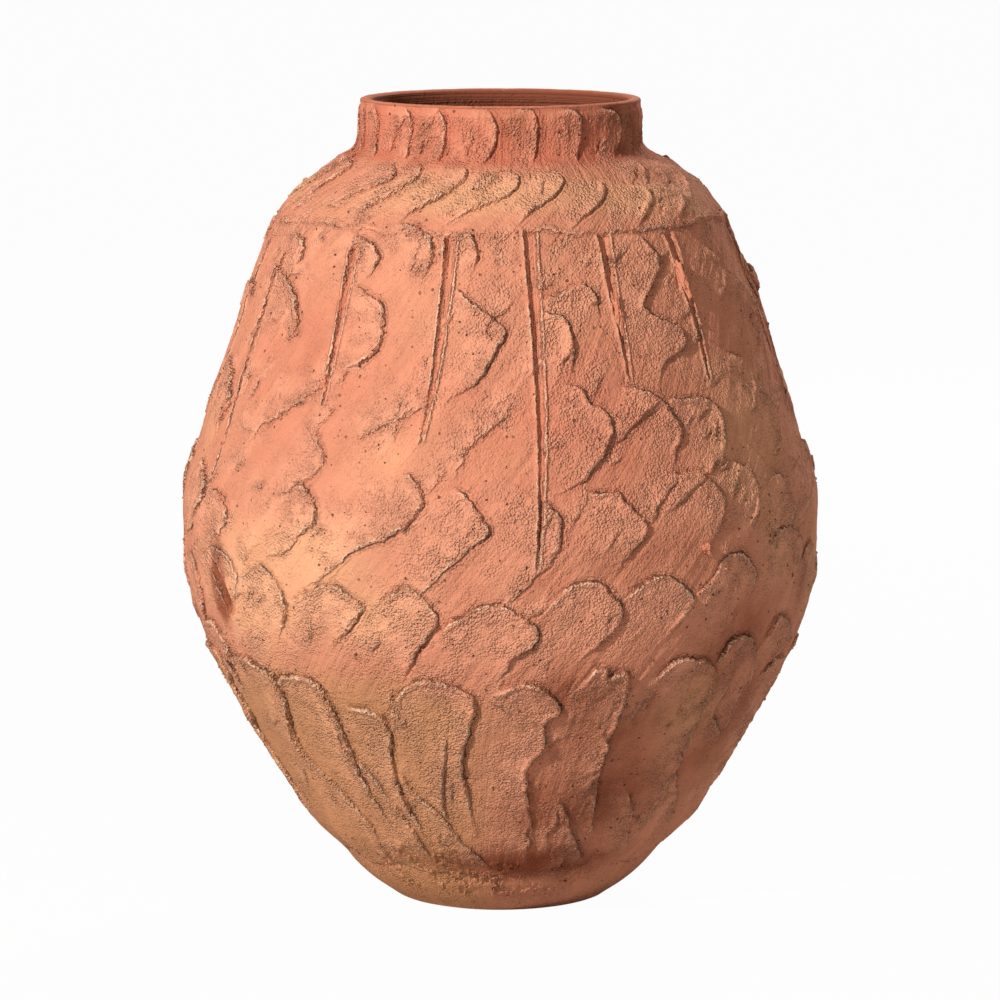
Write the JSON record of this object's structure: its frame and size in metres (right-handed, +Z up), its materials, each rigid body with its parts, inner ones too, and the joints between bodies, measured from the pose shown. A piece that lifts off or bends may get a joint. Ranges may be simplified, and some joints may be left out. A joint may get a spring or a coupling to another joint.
{
  "type": "storage jar",
  "caption": "large hand-built pithos of coarse red clay with a wide mouth, a short collar, a wide belly and a narrow flat foot, its wall dressed with overlapping dabs",
  "frame": {"origin": "centre of the underside of the foot", "axes": "+Z up along the jar's axis; the pictured front faces -Y; +X to the right in the picture"},
  "size_m": [0.7203, 0.724, 0.9],
  "materials": {
    "body_clay": "coarse unglazed salmon-red earthenware, dragged and gritty",
    "buff_clay": "coarse unglazed earthenware, fired to a pale buff",
    "tan_clay": "coarse unglazed earthenware, tan-brown",
    "heel_clay": "wiped unglazed earthenware, red-brown",
    "rim_clay": "smoothed unglazed earthenware"
  },
  "bodies": {
    "root": {"base_slab": "heel_clay", "heel_ring": "heel_clay", "hip_ring": "tan_clay", "belly_ring": "buff_clay", "middle_ring": "body_clay", "upper_ring": "body_clay", "shoulder_ring": "body_clay", "neck_collar": "body_clay", "rim_coil": "rim_clay", "groove_lumps": "buff_clay"}
  },
  "joints": []
}
